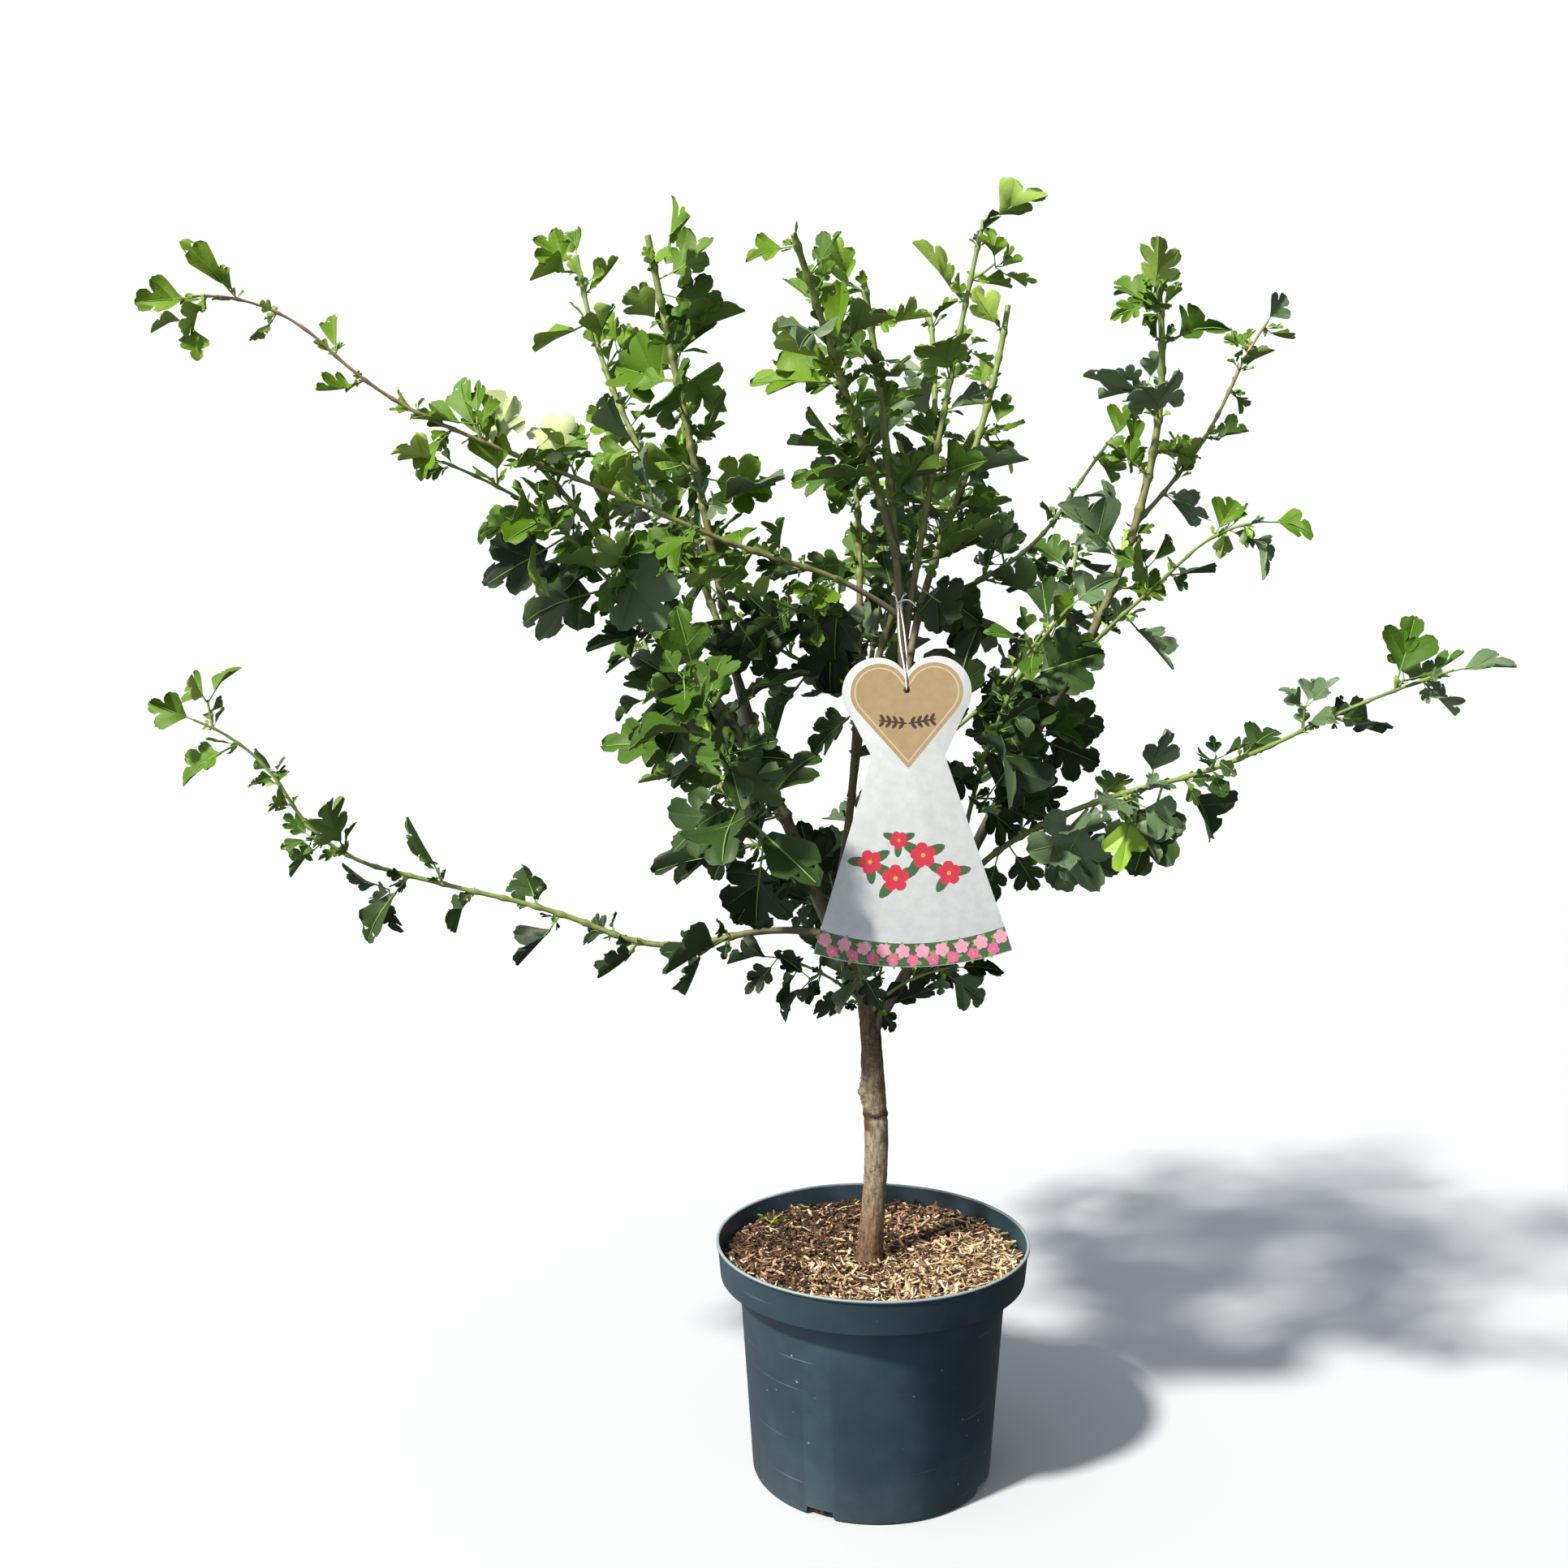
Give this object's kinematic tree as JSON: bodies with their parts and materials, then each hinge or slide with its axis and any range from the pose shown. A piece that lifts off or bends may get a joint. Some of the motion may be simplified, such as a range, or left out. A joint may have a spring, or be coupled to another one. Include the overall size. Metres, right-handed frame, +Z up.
{
  "type": "potted hawthorn tree",
  "caption": "Young hawthorn tree on a short grafted stem, with upright and arching leafy shoots, a hanging heart-topped card label and a dark plastic nursery pot filled with bark mulch.",
  "frame": {"origin": "centre of the pot's flat underside", "axes": "+Z up; -Y towards the side that the label hangs on; +X to the right as seen from -Y"},
  "size_m": [0.9293, 0.5773, 1.0083],
  "materials": {
    "pot_plastic": "moulded, dusty and slightly scratched",
    "bark_mulch": "loose chips over dark compost",
    "bark": "thin grey-brown bark",
    "leafy_green": "leaves on green young twigs",
    "label_card": "coated card, satin",
    "label_twine": "thin white twine"
  },
  "bodies": {
    "root": {"pot": "pot_plastic", "compost": "bark_mulch", "trunk": "bark", "bough_left": "bark", "bough_right": "bark", "bough_centre": "bark", "bough_centre_left": "bark", "bough_upright_left": "bark", "bough_tall_left": "bark", "bough_low_left": "bark", "bough_long_left": "bark", "bough_front_top": "bark", "bough_tallest": "bark", "bough_centre_right": "bark", "bough_back_top": "bark", "bough_right_side": "bark", "bough_inner_right": "bark", "bough_low_right": "bark", "bough_front_right": "bark", "bough_short_left": "bark", "bough_short_right": "bark", "bough_inner_left": "bark", "bough_front_left": "bark", "bough_back": "bark", "bough_back_left": "bark", "bough_back_right": "bark", "bough_back_low": "bark", "leaves_left": "leafy_green", "leaves_right": "leafy_green", "leaves_centre": "leafy_green", "leaves_centre_left": "leafy_green", "leaves_upright_left": "leafy_green", "leaves_tall_left": "leafy_green", "leaves_low_left": "leafy_green", "leaves_long_left": "leafy_green", "leaves_front_top": "leafy_green", "leaves_tallest": "leafy_green", "leaves_centre_right": "leafy_green", "leaves_back_top": "leafy_green", "leaves_right_side": "leafy_green", "leaves_inner_right": "leafy_green", "leaves_low_right": "leafy_green", "leaves_front_right": "leafy_green", "leaves_short_left": "leafy_green", "leaves_short_right": "leafy_green", "leaves_inner_left": "leafy_green", "leaves_front_left": "leafy_green", "leaves_back": "leafy_green", "leaves_back_left": "leafy_green", "leaves_back_right": "leafy_green", "leaves_back_low": "leafy_green", "leaves_skirt_front": "leafy_green", "leaves_skirt_right": "leafy_green", "leaves_skirt_back": "leafy_green", "leaves_skirt_left": "leafy_green", "label": "label_card", "label_string": "label_twine"}
  },
  "joints": []
}
